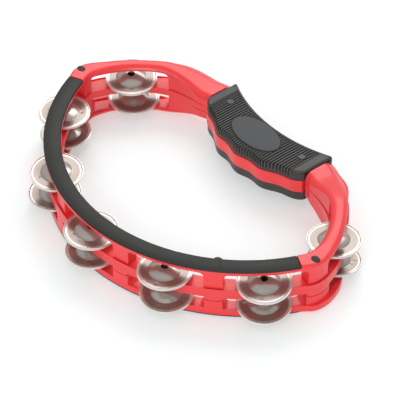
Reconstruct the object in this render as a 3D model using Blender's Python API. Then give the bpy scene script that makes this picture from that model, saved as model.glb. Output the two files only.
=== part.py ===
"""A handheld half-moon tambourine: three red frame mouldings, a grip, rubber bumpers and 28 jingles.

The frame lies flat. X runs along the grip, from left to right, and +Y points from the
striking edge to the grip. The origin is at the middle of the bounding box, on the floor.
The frame is the same above and below its middle plane. All sizes are millimetres.
"""

import math
from dataclasses import dataclass

import bmesh
import bpy
from mathutils import Vector

MM = 0.001
GAP = 0.3  # space left between pieces that touch

# Heights, from the floor up: rail, lower slot, centre ring, upper slot, rail
HEIGHT = 53.0
RAIL = 6.9
SLOT = 16.2
RING = HEIGHT - 2 * RAIL - 2 * SLOT
RING_LOW = RAIL + SLOT
RING_HIGH = RING_LOW + RING
UPPER_SLOT_TOP = RING_HIGH + SLOT

# Plan of the middle line of the frame: a wide striking arc, then a shoulder arc on each side
STRIKE_CENTRE = Vector((0.0, 71.8))
STRIKE_R = 165.0
SHOULDER_CENTRE = Vector((57.0, -5.2))
SHOULDER_R = 100.0
CORNER_R = 20.0
SHOULDER_END = 77.0  # degrees up the shoulder arc, where it runs into the grip
ARM_TOP = 50.4  # the upper shell is lower on the shoulders than under the bumper
ARM_SINK = (16.0, 30.0)  # degrees up the shoulder arc over which it gets there
ARM_DROP = (57.0, 81.0)  # degrees over which both shells draw in to the grip's height
ARC_STEP = 5.0  # degrees between cross-sections
WEB_HALF = 6.0  # half the wall's thickness at the slots
RAIL_HALF = 7.4
RING_HALF = 7.7
CORNER_BULGE = 1.5
ARM_BULGE = 2.6
FLARE_START = 48.0  # degrees up the shoulder arc, where the frame widens towards the grip
EDGE_ROUND = 2.4
ARM_ROUND = 6.0  # the rounding of the frame's long edges where it meets the grip

# Bumpers, in a step along the striking arc
BUMPER_HALF = 7.2
BUMPER_THICK = 2.0
BUMPER_END = 65.4  # degrees each side of the middle
BUMPER_ROUND = 1.2

# Grip
GRIP_HALF_LENGTH = 64.6
GRIP_OUTER_MID = 101.8
GRIP_OUTER_END = 116.2
GRIP_INNER_MID = 61.4
GRIP_INNER_END = 82.1
GRIP_TOP = 42.9
CORE_HALF_HEIGHT = 6.2
CORE_INSET = 0.7
ARM_END_X = GRIP_HALF_LENGTH + 1.2
ARM_END_OUTER = 112.4
ARM_END_INNER = 83.6
ARM_END_TOP = 41.6
FINGER_PITCH = 29.5
FINGER_DEPTH = 1.2
GRIP_ROUND = 2.0
OUTLINE_STEPS = 30
BADGE_HALF = (27.5, 15.5)
BADGE_Y = 84.0
BADGE_THICK = 1.4
BADGE_PROUD = 0.3
SCREW_XY = (47.7, 94.8)
SCREW_HEAD_R = 3.6
SCREW_SHANK_R = 1.5
SCREW_LENGTH = 16.0
SCREW_HEAD_THICK = 2.2

# Corner bolts under their oval plugs
BOLT_XY = (157.2, 14.0)
BOLT_R = 1.5
BOLT_HEAD_R = 2.8
BOLT_HEAD_THICK = 2.5
POCKET_DEPTH = 7.3
PLUG_HALF = (4.3, 3.3)

# Jingles: stations on the striking arc, and one on each shoulder
STATION_PITCH = 27.75  # degrees
SHOULDER_STATION = 36.5  # degrees up the shoulder arc
SLOT_HALF = 32.3  # along the wall
SHOULDER_SLOT = (40.7, 35.8)  # from its pin towards the corner, and towards the grip
SLOT_CHAMFER = 4.0
PIN_R = 1.3
PIN_BORE_R = 1.7
PIN_BLIND = 3.4  # how far a pin's bore goes into a rail
JINGLE_R = 23.0
JINGLE_HOLE_R = 3.1
JINGLE_DOME_R = 13.6
JINGLE_HEIGHT = 4.6
JINGLE_SHEET = 0.7
JINGLE_SEGMENTS = 16

MATERIALS = {
    "red": ("red_abs", (0.80, 0.035, 0.042), 0.28, 0.0),
    "rubber": ("black_rubber", (0.055, 0.055, 0.050), 0.75, 0.0),
    "grip": ("black_grip", (0.035, 0.035, 0.033), 0.60, 0.0),
    "steel": ("nickel_steel", (0.72, 0.70, 0.67), 0.22, 1.0),
    "zinc": ("zinc_steel", (0.55, 0.55, 0.55), 0.35, 1.0),
    "black": ("black_steel", (0.06, 0.06, 0.06), 0.45, 0.6),
}


# ---- Scene and mesh helpers ----

def clear_scene():
    for old in list(bpy.data.objects):
        bpy.data.objects.remove(old, do_unlink=True)


def material(kind):
    """A Principled material, made once and shared by the pieces of one kind."""
    name, colour, roughness, metallic = MATERIALS[kind]
    found = bpy.data.materials.get(name)
    if found:
        return found
    made = bpy.data.materials.new(name)
    made.use_nodes = True
    shader = made.node_tree.nodes["Principled BSDF"]
    shader.inputs["Base Color"].default_value = (*colour, 1.0)
    shader.inputs["Roughness"].default_value = roughness
    shader.inputs["Metallic"].default_value = metallic
    made.diffuse_color = (*colour, 1.0)
    return made


def add_object(name, points, faces, kind, at=(0.0, 0.0, 0.0)):
    """An object from points in millimetres about its own origin, which is set at a place."""
    mesh = bpy.data.meshes.new(name)
    mesh.from_pydata([tuple(c * MM for c in p) for p in points], [], faces)
    work = bmesh.new()
    work.from_mesh(mesh)
    bmesh.ops.recalc_face_normals(work, faces=work.faces)
    work.to_mesh(mesh)
    work.free()
    obj = bpy.data.objects.new(name, mesh)
    obj.location = [c * MM for c in at]
    bpy.context.scene.collection.objects.link(obj)
    if kind:
        mesh.materials.append(material(kind))
    return obj


def add_cutter(name, points, faces):
    """A hidden solid that a Boolean takes away or adds."""
    cutter = add_object(name, points, faces, None)
    cutter.hide_render = True
    cutter.display_type = "WIRE"
    return cutter


def boolean(obj, cutter, operation="DIFFERENCE"):
    modifier = obj.modifiers.new(cutter.name, "BOOLEAN")
    modifier.operation = operation
    modifier.solver = "EXACT"
    modifier.object = cutter


def shade_round(obj):
    obj.data.shade_smooth()
    obj.data.set_sharp_from_angle(angle=math.radians(35))


def stacked(rings):
    """Points and faces of a solid lofted through closed rings of equal length, with flat ends."""
    count = len(rings[0])
    points = [p for ring in rings for p in ring]
    faces = []
    for level in range(len(rings) - 1):
        for i in range(count):
            j = (i + 1) % count
            low, high = level * count, (level + 1) * count
            faces.append((low + i, low + j, high + j, high + i))
    faces.append(tuple(reversed(range(count))))
    faces.append(tuple(range(len(points) - count, len(points))))
    return points, faces


def turned(profile, segments):
    """Points and faces of a ring-shaped solid: a closed profile of (radius, z) turned about Z."""
    points = []
    for k in range(segments):
        angle = 2 * math.pi * k / segments
        points += [(r * math.sin(angle), -r * math.cos(angle), z) for r, z in profile]
    count = len(profile)
    faces = []
    for k in range(segments):
        here, there = k * count, (k + 1) % segments * count
        for i in range(count):
            j = (i + 1) % count
            faces.append((here + i, there + i, there + j, here + j))
    return points, faces


def ellipse(centre, half, z, segments=20):
    steps = [2 * math.pi * k / segments for k in range(segments)]
    return [(centre[0] + half[0] * math.cos(a), centre[1] + half[1] * math.sin(a), z) for a in steps]


def column(centre, levels, segments):
    """An upright solid through (z, half sizes) levels. Two levels may share a z, as at a bolt's head."""
    return stacked([ellipse(centre, half, z, segments) for z, half in levels])


def flipped(z):
    """The same height on the other side of the middle plane."""
    return HEIGHT - z


def smoothstep(t):
    t = min(max(t, 0.0), 1.0)
    return t * t * (3 - 2 * t)


def mix(a, b, t):
    return a + (b - a) * t


# ---- Plan of the frame ----

def on_strike(angle):
    """A point on the striking arc, by degrees from its middle, and its outward direction."""
    a = math.radians(angle)
    out = Vector((math.sin(a), -math.cos(a)))
    return STRIKE_CENTRE + out * STRIKE_R, out


def on_shoulder(angle):
    """The same for the right shoulder arc, by degrees from +X."""
    a = math.radians(angle)
    out = Vector((math.cos(a), math.sin(a)))
    return SHOULDER_CENTRE + out * SHOULDER_R, out


def corner_circle():
    """The centre of the small arc that is tangent inside both the striking and the shoulder arc."""
    reach, near = STRIKE_R - CORNER_R, SHOULDER_R - CORNER_R
    between = SHOULDER_CENTRE - STRIKE_CENTRE
    length = between.length
    along = (reach**2 - near**2 + length**2) / (2 * length)
    aside = math.sqrt(reach**2 - along**2)
    unit = between / length
    return STRIKE_CENTRE + unit * along + Vector((-unit.y, unit.x)) * aside


CORNER_CENTRE = corner_circle()
TO_STRIKE = CORNER_CENTRE - STRIKE_CENTRE
TO_SHOULDER = CORNER_CENTRE - SHOULDER_CENTRE
STRIKE_LIMIT = math.degrees(math.atan2(TO_STRIKE.x, -TO_STRIKE.y))
SHOULDER_START = math.degrees(math.atan2(TO_SHOULDER.y, TO_SHOULDER.x))


def steps_between(start, end, step):
    """Values from start to end, evenly spaced and no further apart than a step."""
    count = max(1, math.ceil(abs(end - start) / step))
    return [mix(start, end, k / count) for k in range(count + 1)]


@dataclass
class Station:
    """One cross-section of the frame."""

    place: Vector  # on the middle line, seen from above
    out: Vector  # the way outwards
    swell: float = 0.0  # extra width outside, in millimetres
    flare: float = 0.0  # 0 at the frame's usual width, 1 at the width of its end at the grip
    sink: float = 0.0  # 0 at full height, 1 at the height of the shoulders
    drop: float = 0.0  # 0 before the frame draws in to the grip's height, 1 after
    covered: bool = False  # whether a bumper lies on it

    def mirrored(self):
        """The same cross-section on the left side."""
        place, out = Vector((-self.place.x, self.place.y)), Vector((-self.out.x, self.out.y))
        return Station(place, out, self.swell, self.flare, self.sink, self.drop, self.covered)


def share(value, limits):
    """How far a value is between two limits, eased at both."""
    return smoothstep((value - limits[0]) / (limits[1] - limits[0]))


def shoulder_station(angle):
    place, out = on_shoulder(angle)
    corner = 1 - share(angle, (SHOULDER_START, SHOULDER_START + 10))
    along = min(max((angle - FLARE_START) / (ARM_DROP[1] - FLARE_START), 0.0), 1.0)
    swell = CORNER_BULGE * corner + ARM_BULGE * math.sin(math.pi * along)
    flare = share(angle, (FLARE_START, SHOULDER_END + 8))
    return Station(place, out, swell, flare, share(angle, ARM_SINK), share(angle, ARM_DROP))


def right_stations():
    """Cross-sections of the right half of the frame, from the front to the grip."""
    found = []
    for angle in steps_between(0.0, BUMPER_END, ARC_STEP):
        found.append(Station(*on_strike(angle), covered=True))
    past_bumper = BUMPER_END + math.degrees(GAP * 0.7 / STRIKE_R)
    found.append(Station(*on_strike(past_bumper), swell=0.3))
    for angle in steps_between(STRIKE_LIMIT - 90, SHOULDER_START, 9.0):
        a = math.radians(angle)
        out = Vector((math.cos(a), math.sin(a)))
        found.append(Station(CORNER_CENTRE + out * CORNER_R, out, swell=CORNER_BULGE))
    for angle in steps_between(SHOULDER_START, SHOULDER_END, ARC_STEP * 1.5)[1:]:
        found.append(shoulder_station(angle))
    middle = Vector((ARM_END_X, (ARM_END_OUTER + ARM_END_INNER) / 2))
    found.append(Station(middle, Vector((0.0, 1.0)), flare=1.0, sink=1.0, drop=1.0))
    return found


def frame_stations():
    """All the cross-sections, from the left end of the grip round the front to its right end."""
    right = right_stations()
    return [station.mirrored() for station in reversed(right[1:])] + right


def section_points(place, out, corners, lower=False):
    """A cross-section's corners, (offset outwards, z), as points in space."""
    return [(place.x + out.x * s, place.y + out.y * s, flipped(z) if lower else z) for s, z in corners]


def shell_corners(station, lower):
    """A shell's cross-section above the middle plane: a web between the slots, under a wider rail."""
    end_half = (ARM_END_OUTER - ARM_END_INNER) / 2
    web = mix(WEB_HALF, end_half, station.flare)
    rail = mix(RAIL_HALF, end_half, station.flare)
    crest = HEIGHT if lower else mix(HEIGHT, ARM_TOP, station.sink)
    top = HEIGHT - BUMPER_THICK - GAP if station.covered else mix(crest, ARM_END_TOP, station.drop)
    rounding = 0.4 if station.covered else mix(EDGE_ROUND, ARM_ROUND, station.drop)
    low = RING_HIGH + GAP
    under_rail = mix(47.4, (low + top) / 2, station.drop)
    edge = max(top - rounding, under_rail + 0.8)
    heights = [low, under_rail, min(under_rail + 1.2, edge - 0.3), edge, top]
    halves = [web, web, rail, rail, rail - rounding]
    outside = [(h + station.swell, z) for h, z in zip(halves, heights)]
    inside = [(-h, z) for h, z in zip(halves, heights)]
    return outside + inside[::-1]


def build_shell(name, lower):
    """An upper or lower frame shell: a swept wall with the slots, bores and pockets cut out."""
    rings = []
    for station in frame_stations():
        corners = shell_corners(station, lower)
        rings.append(section_points(station.place, station.out, corners, lower))
    shell = add_object(name, *stacked(rings), "red")
    for number, (place, along) in enumerate(slot_places(), 1):
        boolean(shell, slot_cutter(f"{name}_slot_{number}", along, lower))
    for number, (x, y) in enumerate(pin_places(), 1):
        bore = [(UPPER_SLOT_TOP - 2, (PIN_BORE_R,) * 2), (UPPER_SLOT_TOP + PIN_BLIND, (PIN_BORE_R,) * 2)]
        boolean(shell, upright_cutter(f"{name}_bore_{number}", (x, y), bore, 8, lower))
    clear = BOLT_R + GAP
    pocket = (PLUG_HALF[0] + GAP, PLUG_HALF[1] + GAP)
    for side, x in (("left", -BOLT_XY[0]), ("right", BOLT_XY[0])):
        hole = [(RING_HIGH - 2, (clear, clear)), (HEIGHT - POCKET_DEPTH + 1, (clear, clear))]
        boolean(shell, upright_cutter(f"{name}_hole_{side}", (x, BOLT_XY[1]), hole, 8, lower))
        seat = [(HEIGHT - POCKET_DEPTH, pocket), (HEIGHT + 2, pocket)]
        boolean(shell, upright_cutter(f"{name}_pocket_{side}", (x, BOLT_XY[1]), seat, 16, lower))
    return shell


def slot_places():
    """Each slot's pin place, and the stretch of the middle line that the slot takes, as points
    with outward ways: its two ends, the ends of its chamfers and steps between them."""
    found = []
    half = math.degrees(SLOT_HALF / STRIKE_R)
    chamfer = math.degrees(SLOT_CHAMFER / STRIKE_R)
    for number in range(-2, 3):
        middle = number * STATION_PITCH
        inner = steps_between(middle - half + chamfer, middle + half - chamfer, ARC_STEP)
        angles = [middle - half] + inner + [middle + half]
        found.append((on_strike(middle)[0], [on_strike(a) for a in angles]))
    before, after = (math.degrees(reach / SHOULDER_R) for reach in SHOULDER_SLOT)
    chamfer = math.degrees(SLOT_CHAMFER / SHOULDER_R)
    low, high = SHOULDER_STATION - before, SHOULDER_STATION + after
    angles = [low] + steps_between(low + chamfer, high - chamfer, ARC_STEP * 1.5) + [high]
    right = [on_shoulder(a) for a in angles]
    left = [(Vector((-p.x, p.y)), Vector((-o.x, o.y))) for p, o in reversed(right)]
    pin = on_shoulder(SHOULDER_STATION)[0]
    return [(Vector((-pin.x, pin.y)), left)] + found + [(pin, right)]


def pin_places():
    return [(place.x, place.y) for place, along in slot_places()]


def slot_cutter(name, along, lower):
    """The space of one slot, open towards the centre ring, with its far corners cut off."""
    rings = []
    reach = RAIL_HALF + CORNER_BULGE + 3
    for index, (place, out) in enumerate(along):
        at_end = index in (0, len(along) - 1)
        top = UPPER_SLOT_TOP - (SLOT_CHAMFER if at_end else 0.0)
        low = RING_HIGH - 1.5
        corners = [(reach, low), (reach, top), (-reach, top), (-reach, low)]
        rings.append(section_points(place, out, corners, lower))
    return add_cutter(name, *stacked(rings))


def upright_cutter(name, centre, levels, segments, lower):
    if lower:
        levels = [(flipped(z), half) for z, half in levels]
    return add_cutter(name, *column(centre, levels, segments))


# ---- Centre ring and grip ----

def arc_rise(x, middle, end):
    """Height of an arc over a chord: it passes the middle value at x = 0 and the end value at the
    grip's ends."""
    rise = end - middle
    radius = (GRIP_HALF_LENGTH**2 + rise**2) / (2 * abs(rise))
    drop = radius - math.sqrt(radius**2 - x**2)
    return middle + math.copysign(drop, rise)


def finger_wave(x):
    """Four finger hollows: ridges at the middle and every finger pitch, fading at the ends."""
    fade = smoothstep((GRIP_HALF_LENGTH - abs(x)) / 8)
    return -FINGER_DEPTH * fade * math.cos(2 * math.pi * x / FINGER_PITCH)


def grip_outline(inset, z):
    """The grip's outline seen from above, drawn in by an inset: concave outside, waved inside."""
    half = GRIP_HALF_LENGTH - inset
    across = [mix(-half, half, k / OUTLINE_STEPS) for k in range(OUTLINE_STEPS + 1)]
    inner = [(x, arc_rise(x, GRIP_INNER_MID, GRIP_INNER_END) + finger_wave(x) + inset, z) for x in across]
    outer = [(x, arc_rise(x, GRIP_OUTER_MID, GRIP_OUTER_END) - inset, z) for x in across]
    return inner + outer[::-1]


def build_centre_ring():
    """The middle moulding: a flat ring between the shells, thickened into the grip's core."""
    low, high = RING_LOW, RING_HIGH
    rings = []
    for station in frame_stations():
        half = mix(RING_HALF, (ARM_END_OUTER - ARM_END_INNER) / 2, station.flare)
        outer = half + station.swell
        corners = [(outer, low), (outer, high), (-half, high), (-half, low)]
        rings.append(section_points(station.place, station.out, corners))
    inset = 6.0  # how far the ring's ends run into the core
    for end, side in ((0, 1), (-1, -1)):
        rings[end] = [(x + side * inset, y, z) for x, y, z in rings[end]]
    ring = add_object("centre_ring", *stacked(rings), "red")
    middle = HEIGHT / 2
    core_low, core_high = middle - CORE_HALF_HEIGHT, middle + CORE_HALF_HEIGHT
    core = stacked([grip_outline(CORE_INSET, core_low), grip_outline(CORE_INSET, core_high)])
    boolean(ring, add_cutter("core", *core), "UNION")
    for number, place in enumerate(pin_places(), 1):
        bore = [(low - 2, (PIN_BORE_R,) * 2), (high + 2, (PIN_BORE_R,) * 2)]
        boolean(ring, add_cutter(f"ring_bore_{number}", *column(place, bore, 8)))
    clear = BOLT_R + GAP
    for side in (-1, 1):
        hole = [(low - 2, (clear, clear)), (high + 2, (clear, clear))]
        cutter = add_cutter(f"ring_hole_{side}", *column((side * BOLT_XY[0], BOLT_XY[1]), hole, 8))
        boolean(ring, cutter)
        bore = [(core_low - 2, (SCREW_SHANK_R + GAP,) * 2), (core_high + 2, (SCREW_SHANK_R + GAP,) * 2)]
        place = (side * SCREW_XY[0], SCREW_XY[1])
        boolean(ring, add_cutter(f"core_bore_{side}", *column(place, bore, 8)))
    return ring


def build_grip_cover(name, lower):
    """A grip cover: the grip's outline with its upper edge rounded, cut for the badge and screws."""
    low = HEIGHT / 2 + CORE_HALF_HEIGHT + GAP
    levels = [(0.0, low), (0.0, GRIP_TOP - GRIP_ROUND), (GRIP_ROUND * 0.35, GRIP_TOP - GRIP_ROUND * 0.35)]
    levels.append((GRIP_ROUND, GRIP_TOP))
    rings = [grip_outline(inset, flipped(z) if lower else z) for inset, z in levels]
    cover = add_object(name, *stacked(rings), "grip")
    recess = [half + GAP for half in BADGE_HALF]
    floor = GRIP_TOP + BADGE_PROUD - BADGE_THICK - GAP
    pocket = [(floor, recess), (GRIP_TOP + 2, recess)]
    boolean(cover, upright_cutter(f"{name}_badge_recess", (0.0, BADGE_Y), pocket, 24, lower))
    for side in (-1, 1):
        place = (side * SCREW_XY[0], SCREW_XY[1])
        seat = [(GRIP_TOP - SCREW_HEAD_THICK - GAP, (SCREW_HEAD_R + GAP,) * 2)]
        seat.append((GRIP_TOP + 2, (SCREW_HEAD_R + GAP,) * 2))
        boolean(cover, upright_cutter(f"{name}_seat_{side}", place, seat, 16, lower))
        hole = [(low - 2, (SCREW_SHANK_R + GAP,) * 2), (GRIP_TOP, (SCREW_SHANK_R + GAP,) * 2)]
        boolean(cover, upright_cutter(f"{name}_hole_{side}", place, hole, 8, lower))
    return cover


def build_badge(name, lower):
    """A plain oval inlay in a grip cover, with a small rounded edge."""
    top = GRIP_TOP + BADGE_PROUD
    inner = [half - 0.5 for half in BADGE_HALF]
    levels = [(top - BADGE_THICK, BADGE_HALF), (top - 0.4, BADGE_HALF), (top, inner)]
    if lower:
        levels = [(flipped(z), half) for z, half in levels]
    return add_object(name, *column((0.0, BADGE_Y), levels, 24), "grip")


def build_grip_screw(name, side, lower):
    """A pan-head screw from a cover into the core, to just short of the middle plane."""
    top = GRIP_TOP - 0.1
    neck = top - SCREW_HEAD_THICK
    shank, head = (SCREW_SHANK_R,) * 2, (SCREW_HEAD_R,) * 2
    crown = (SCREW_HEAD_R - 0.8,) * 2
    levels = [(top - SCREW_LENGTH, shank), (neck, shank), (neck, head), (top - 0.6, head), (top, crown)]
    if lower:
        levels = [(flipped(z), half) for z, half in levels]
    screw = add_object(name, *column((side * SCREW_XY[0], SCREW_XY[1]), levels, 12), "black")
    shade_round(screw)
    return screw


# ---- Bumpers, plugs and bolts ----

def build_bumper(name, lower):
    """A rubber strip let into the rail along the striking arc, with rounded long edges."""
    top, low = HEIGHT, HEIGHT - BUMPER_THICK
    reach = BUMPER_END - math.degrees(GAP / STRIKE_R)
    half, crown = BUMPER_HALF, BUMPER_HALF - BUMPER_ROUND
    corners = [(half, low), (half, top - BUMPER_ROUND * 0.7), (crown, top)]
    corners += [(-s, z) for s, z in reversed(corners)]
    rings = []
    for angle in steps_between(-reach, reach, ARC_STEP):
        rings.append(section_points(*on_strike(angle), corners, lower))
    return add_object(name, *stacked(rings), "rubber")


def build_plug(name, side, lower):
    """An oval plug that closes a bolt's pocket, flush with the frame."""
    top, low = HEIGHT, HEIGHT - POCKET_DEPTH + GAP + BOLT_HEAD_THICK + GAP
    crown = [half - 0.5 for half in PLUG_HALF]
    levels = [(low, PLUG_HALF), (top - 0.4, PLUG_HALF), (top, crown)]
    if lower:
        levels = [(flipped(z), half) for z, half in levels]
    return add_object(name, *column((side * BOLT_XY[0], BOLT_XY[1]), levels, 16), "rubber")


def build_bolt(name, side):
    """The bolt that holds the three mouldings together at a corner: its head is up."""
    seat = HEIGHT - POCKET_DEPTH + GAP
    shank, head = (BOLT_R,) * 2, (BOLT_HEAD_R,) * 2
    end = POCKET_DEPTH - GAP - BOLT_HEAD_THICK
    levels = [(end, shank), (seat, shank), (seat, head), (seat + BOLT_HEAD_THICK, head)]
    bolt = add_object(name, *column((side * BOLT_XY[0], BOLT_XY[1]), levels, 12), "zinc")
    shade_round(bolt)
    return bolt


def build_nut(name, side):
    """A six-sided nut round the bolt's lower end."""
    high = POCKET_DEPTH - GAP
    low = high - BOLT_HEAD_THICK
    hole, flats = (BOLT_R + GAP) / math.cos(math.radians(30)), BOLT_HEAD_R + 0.4
    profile = [(hole, low), (flats, low), (flats, high), (hole, high)]
    points, faces = turned(profile, 6)
    return add_object(name, points, faces, "zinc", at=(side * BOLT_XY[0], BOLT_XY[1], 0.0))


# ---- Jingles ----

def build_pin(number, place):
    """A plain steel pin through both slots of a station, its origin on its own axis."""
    low = flipped(UPPER_SLOT_TOP + PIN_BLIND - GAP)
    levels = [(low, (PIN_R,) * 2), (flipped(low), (PIN_R,) * 2)]
    points, faces = column((0.0, 0.0), levels, 12)
    pin = add_object(f"pin_{number}", points, faces, "steel", at=(*place, 0.0))
    shade_round(pin)
    return pin


def jingle_mesh(dome_up):
    """A pressed disc: a flat rim round a low dome with a hole. Its underside is at z = 0."""
    sheet, height = JINGLE_SHEET, JINGLE_HEIGHT
    profile = [
        (JINGLE_HOLE_R, height),
        (JINGLE_DOME_R, sheet),
        (JINGLE_R, sheet),
        (JINGLE_R, 0.0),
        (JINGLE_DOME_R - sheet, 0.0),
        (JINGLE_HOLE_R, height - sheet),
    ]
    if not dome_up:
        profile = [(r, height - z) for r, z in profile]
    return turned(profile, JINGLE_SEGMENTS)


def build_jingles(number, place):
    """The four jingles of a station: in each slot, one dome down with one dome up on its rim."""
    for row, floor in (("lower", RAIL), ("upper", RING_HIGH)):
        rest = floor + GAP
        for which, dome_up, z in (("base", False, rest), ("cap", True, rest + JINGLE_HEIGHT + GAP)):
            points, faces = jingle_mesh(dome_up)
            name = f"jingle_{number}_{row}_{which}"
            jingle = add_object(name, points, faces, "steel", at=(*place, z))
            shade_round(jingle)


def main():
    clear_scene()
    build_centre_ring()
    for level, lower in (("upper", False), ("lower", True)):
        build_shell(f"{level}_shell", lower)
        build_bumper(f"{level}_bumper", lower)
        build_grip_cover(f"{level}_grip_cover", lower)
        build_badge(f"{level}_grip_badge", lower)
        for side_name, side in (("left", -1), ("right", 1)):
            build_plug(f"{level}_plug_{side_name}", side, lower)
            build_grip_screw(f"{level}_grip_screw_{side_name}", side, lower)
    for side_name, side in (("left", -1), ("right", 1)):
        build_bolt(f"corner_bolt_{side_name}", side)
        build_nut(f"corner_nut_{side_name}", side)
    for number, place in enumerate(pin_places(), 1):
        build_pin(number, place)
        build_jingles(number, place)


main()
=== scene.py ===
"""Looks of a handheld half-moon tambourine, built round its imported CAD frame.

The tambourine lies flat. X runs along the grip, from left to right, +Y points from the striking
edge to the grip, and Z runs up through the jingle pins. Sizes in the classes are millimetres, and
meshes are put in metres.
"""

from __future__ import annotations

import logging
import math
from dataclasses import dataclass, field
from enum import Enum

import bpy
import numpy as np
from mathutils import Matrix, Vector

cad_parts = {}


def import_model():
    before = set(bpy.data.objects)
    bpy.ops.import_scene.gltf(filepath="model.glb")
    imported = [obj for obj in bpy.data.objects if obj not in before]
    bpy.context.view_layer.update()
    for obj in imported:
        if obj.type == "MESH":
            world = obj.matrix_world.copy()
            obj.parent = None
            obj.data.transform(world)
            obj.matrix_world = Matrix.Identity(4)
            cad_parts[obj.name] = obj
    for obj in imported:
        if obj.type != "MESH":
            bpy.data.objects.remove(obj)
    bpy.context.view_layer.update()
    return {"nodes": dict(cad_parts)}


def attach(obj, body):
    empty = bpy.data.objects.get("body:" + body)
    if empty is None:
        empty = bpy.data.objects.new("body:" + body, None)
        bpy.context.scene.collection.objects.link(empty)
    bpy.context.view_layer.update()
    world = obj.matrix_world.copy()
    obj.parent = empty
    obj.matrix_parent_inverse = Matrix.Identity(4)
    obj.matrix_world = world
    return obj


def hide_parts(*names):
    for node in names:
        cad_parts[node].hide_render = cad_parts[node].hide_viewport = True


Array = np.ndarray
MM = 0.001
HEIGHT = 53.0  # the whole tambourine, mm
SHARP_ANGLE = math.radians(38)
FLOW_SCALE = 28.0  # waves per metre of a finish's slow variation
FLOW_RANGE = (0.3, 0.7)  # the part of that noise's range that it mostly fills
COAT_ROUGHNESS = 0.12
SCATTER_RADIUS = (1.0, 0.25, 0.2)  # red light goes furthest into the plastic
SCATTER_DEPTH = 1.5  # mm
log = logging.getLogger("tambourine")


# ---- Small mathematics ----


def ease(t: Array | float) -> Array:
    """Smooth step: 3t^2 - 2t^3 on a value held between 0 and 1."""
    t = np.clip(t, 0.0, 1.0)
    return t * t * (3 - 2 * t)


def share(value: Array | float, low: float, high: float) -> Array:
    """How far a value is from low to high, eased at both ends."""
    return ease((value - low) / (high - low))


def mix(a: Array | float, b: Array | float, t: Array | float) -> Array:
    """The value a at t = 0 and b at t = 1, in a straight line between."""
    return a + (b - a) * t


# ---- Meshes ----


@dataclass
class Surface:
    """A mesh as arrays: points in millimetres, four-sided and three-sided faces, and values per point."""

    points: Array
    quads: Array
    triangles: Array = field(default_factory=lambda: np.zeros((0, 3), int))
    values: dict[str, Array] = field(default_factory=dict)

    def volume(self) -> float:
        """The signed volume: the sum of a . (b x c) / 6 over all the faces cut into triangles.

        Returns:
            Cubic millimetres, negative when the faces point inwards.
        """
        q, p = self.quads, self.points
        faces = np.concatenate([q[:, [0, 1, 2]], q[:, [0, 2, 3]], self.triangles])
        a, b, c = p[faces[:, 0]], p[faces[:, 1]], p[faces[:, 2]]
        return float(np.einsum("ij,ij->i", a, np.cross(b, c)).sum() / 6)

    def facing_out(self) -> Surface:
        """The same closed surface with its faces turned outwards.

        Returns:
            The same object.
        """
        if self.volume() < 0:
            self.quads, self.triangles = self.quads[:, ::-1], self.triangles[:, ::-1]
        return self

    def joined(self, other: Surface) -> Surface:
        """This surface and another as one mesh. Values that only one of them has are 0 on the other.

        Args:
            other: The surface to add.

        Returns:
            A new surface of both.
        """
        shift, values = len(self.points), {}
        for name in self.values.keys() | other.values.keys():
            mine = self.values.get(name, np.zeros(shift))
            values[name] = np.concatenate([mine, other.values.get(name, np.zeros(len(other.points)))])
        return Surface(
            np.concatenate([self.points, other.points]),
            np.concatenate([self.quads, other.quads + shift]),
            np.concatenate([self.triangles, other.triangles + shift]),
            values,
        )


def grid_quads(rows: int, columns: int, wrap_rows: bool, wrap_columns: bool) -> Array:
    """Faces of a grid whose points are numbered row by row.

    Args:
        rows: How many rows the grid has.
        columns: How many points each row has.
        wrap_rows: Whether the last row joins the first.
        wrap_columns: Whether each row's last point joins its first.

    Returns:
        Point numbers, four for each face.
    """
    i = np.arange(rows if wrap_rows else rows - 1)
    j = np.arange(columns if wrap_columns else columns - 1)
    i, j = np.meshgrid(i, j, indexing="ij")
    below, beside = (i + 1) % rows, (j + 1) % columns
    corners = [i * columns + j, i * columns + beside, below * columns + beside, below * columns + j]
    return np.stack(corners, -1).reshape(-1, 4)


def swept(grid: Array, values: dict[str, Array] | None = None) -> Surface:
    """A closed solid from closed sections in a row: each end is closed by a fan about its mean point.

    Args:
        grid: Points of shape (sections, points of a section, 3).
        values: Arrays of shape (sections, points of a section) to keep with the points.

    Returns:
        The surface, facing out.
    """
    rows, columns = grid.shape[:2]
    points = grid.reshape(-1, 3)
    ends = np.stack([grid[0].mean(0), grid[-1].mean(0)])
    ring = np.arange(columns)
    following = (ring + 1) % columns
    last = (rows - 1) * columns
    first_fan = np.stack([np.full(columns, len(points)), following, ring], -1)
    last_fan = np.stack([np.full(columns, len(points) + 1), last + ring, last + following], -1)
    kept = {}
    for name, value in (values or {}).items():
        kept[name] = np.concatenate([value.reshape(-1), [value[0].mean(), value[-1].mean()]])
    quads = grid_quads(rows, columns, False, True)
    fans = np.concatenate([first_fan, last_fan])
    return Surface(np.concatenate([points, ends]), quads, fans, kept).facing_out()


def lathed(radii: Array, heights: Array, segments: int) -> Surface:
    """A closed profile turned about Z: (r sin a, -r cos a, z). A profile that starts and ends on the
    axis is closed by fans there, and one that doesn't is a ring.

    Args:
        radii: The profile's distances from the axis.
        heights: The profile's heights.
        segments: Steps round the axis.

    Returns:
        The surface, facing out, with its radius kept as "turned".
    """
    angle = np.linspace(0, 2 * np.pi, segments, endpoint=False)[:, None]
    flat = np.ones_like(angle) * heights
    grid = np.stack([np.sin(angle) * radii, -np.cos(angle) * radii, flat], -1)
    turned = np.ones_like(angle) * radii
    if radii[0] > 0:
        quads = grid_quads(segments, len(radii), True, True)
        return Surface(grid.reshape(-1, 3), quads, values={"turned": turned.reshape(-1)}).facing_out()
    inside = grid[:, 1:-1]
    kept = turned[:, 1:-1]
    return swept(np.swapaxes(inside, 0, 1), {"turned": np.swapaxes(kept, 0, 1)})


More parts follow.
